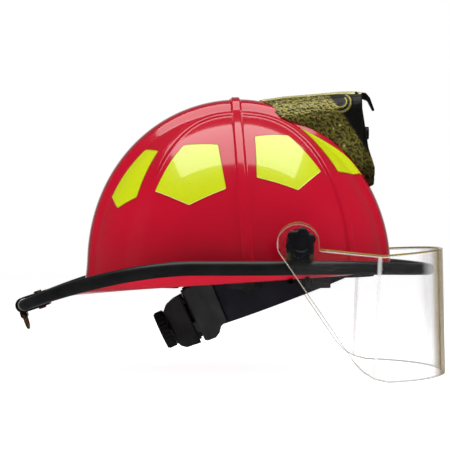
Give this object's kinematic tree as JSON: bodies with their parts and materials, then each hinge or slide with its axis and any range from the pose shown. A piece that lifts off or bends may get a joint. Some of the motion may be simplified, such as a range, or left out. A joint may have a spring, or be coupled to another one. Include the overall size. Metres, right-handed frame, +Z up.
{
  "type": "firefighter helmet",
  "caption": "Ribbed dome helmet with a long rear brim, rubber edge trim, flip-up clear visor, cast front-piece holder, rear ring and ratchet headband.",
  "frame": {"origin": "centre of the dome's base, where the helmet sits on the head", "axes": "+X to the front of the helmet, +Y to the wearer's left, +Z up"},
  "size_m": [0.4019, 0.3338, 0.2611],
  "materials": {
    "shell_red": "high gloss moulded composite",
    "trim_rubber": "satin black rubber channel",
    "lime_reflective": "fluorescent lime sheeting",
    "antique_brass": "antique cast brass, dark in the hollows",
    "brass_plate": "brass plated, semi gloss",
    "steel": "plated steel",
    "washer_nylon": "dark nylon",
    "clear_visor": "clear polycarbonate with amber edges",
    "knob_black": "moulded black plastic",
    "cap_plastic": "black moulded plastic",
    "foam": "rigid foam",
    "webbing": "woven webbing",
    "pad_fabric": "padded brushed fabric",
    "hanger_plastic": "moulded black plastic",
    "headband_plastic": "matt blue-black plastic",
    "ratchet_plastic": "moulded dark plastic",
    "wing_plastic": "moulded dark grey plastic"
  },
  "bodies": {
    "helmet": {"outer_shell": "shell_red", "edge_trim": "trim_rubber", "reflective_stickers": "lime_reflective", "front_piece_holder": "antique_brass", "holder_screws": "steel", "ring_clip": "brass_plate", "ring_clip_rivets": "brass_plate", "visor_bracket_left": "brass_plate", "visor_bracket_right": "brass_plate", "bracket_screws": "brass_plate", "pivot_bolts": "steel", "friction_washers": "washer_nylon", "impact_cap": "cap_plastic", "foam_liner": "foam", "crown_strap_cross": "webbing", "crown_strap_left_front": "webbing", "crown_strap_right_front": "webbing", "crown_pad": "pad_fabric", "strap_keys": "hanger_plastic", "band_hangers": "hanger_plastic", "headband": "headband_plastic", "brow_pad": "pad_fabric", "nape_pad": "pad_fabric", "ratchet_housing": "ratchet_plastic", "ratchet_cover": "ratchet_plastic", "ratchet_screws": "steel"},
    "visor": {"visor": "clear_visor"},
    "knob_left": {"star_knob_left": "knob_black", "knob_insert_left": "brass_plate"},
    "knob_right": {"star_knob_right": "knob_black", "knob_insert_right": "brass_plate"},
    "rear_ring": {"hanging_ring": "brass_plate"},
    "ratchet": {"ratchet_knob": "knob_black", "drive_pinion": "washer_nylon"},
    "wing_left": {"nape_wing_left": "wing_plastic"},
    "wing_right": {"nape_wing_right": "wing_plastic"}
  },
  "joints": [
    {"name": "visor_tilt", "type": "hinge", "parent": "helmet", "child": "visor", "pos_m": [0.0513, 0, 0.0235], "axis": [0, -1, 0], "range_deg": [0, 55]},
    {"name": "knob_left_turn", "type": "hinge", "parent": "helmet", "child": "knob_left", "pos_m": [0.0513, 0.16, 0.0235], "axis": [0, 1, 0], "continuous": true},
    {"name": "knob_right_turn", "type": "hinge", "parent": "helmet", "child": "knob_right", "pos_m": [0.0513, -0.16, 0.0235], "axis": [0, -1, 0], "continuous": true},
    {"name": "ring_swing", "type": "hinge", "parent": "helmet", "child": "rear_ring", "pos_m": [-0.20253, 0, -0.0469], "axis": [0, 1, 0], "range_deg": [-70, 110]},
    {"name": "ratchet_turn", "type": "hinge", "parent": "helmet", "child": "ratchet", "pos_m": [-0.0598, 0, -0.05565], "axis": [-0.9063, 0, -0.4226], "range_deg": [-45, 300]},
    {"name": "wing_left_slide", "type": "hinge", "parent": "helmet", "child": "wing_left", "pos_m": [0.0205, 0, -0.0149], "axis": [-0.4226, 0, 0.9063], "range_deg": [-19, 3]},
    {"name": "wing_right_slide", "type": "hinge", "parent": "helmet", "child": "wing_right", "pos_m": [0.0205, 0, -0.0149], "axis": [-0.4226, 0, 0.9063], "range_deg": [-3, 19]}
  ],
  "couplings": [
    {"joint": "wing_left_slide", "follows": "ratchet_turn", "ratio": -0.062267},
    {"joint": "wing_right_slide", "follows": "ratchet_turn", "ratio": 0.062267}
  ]
}
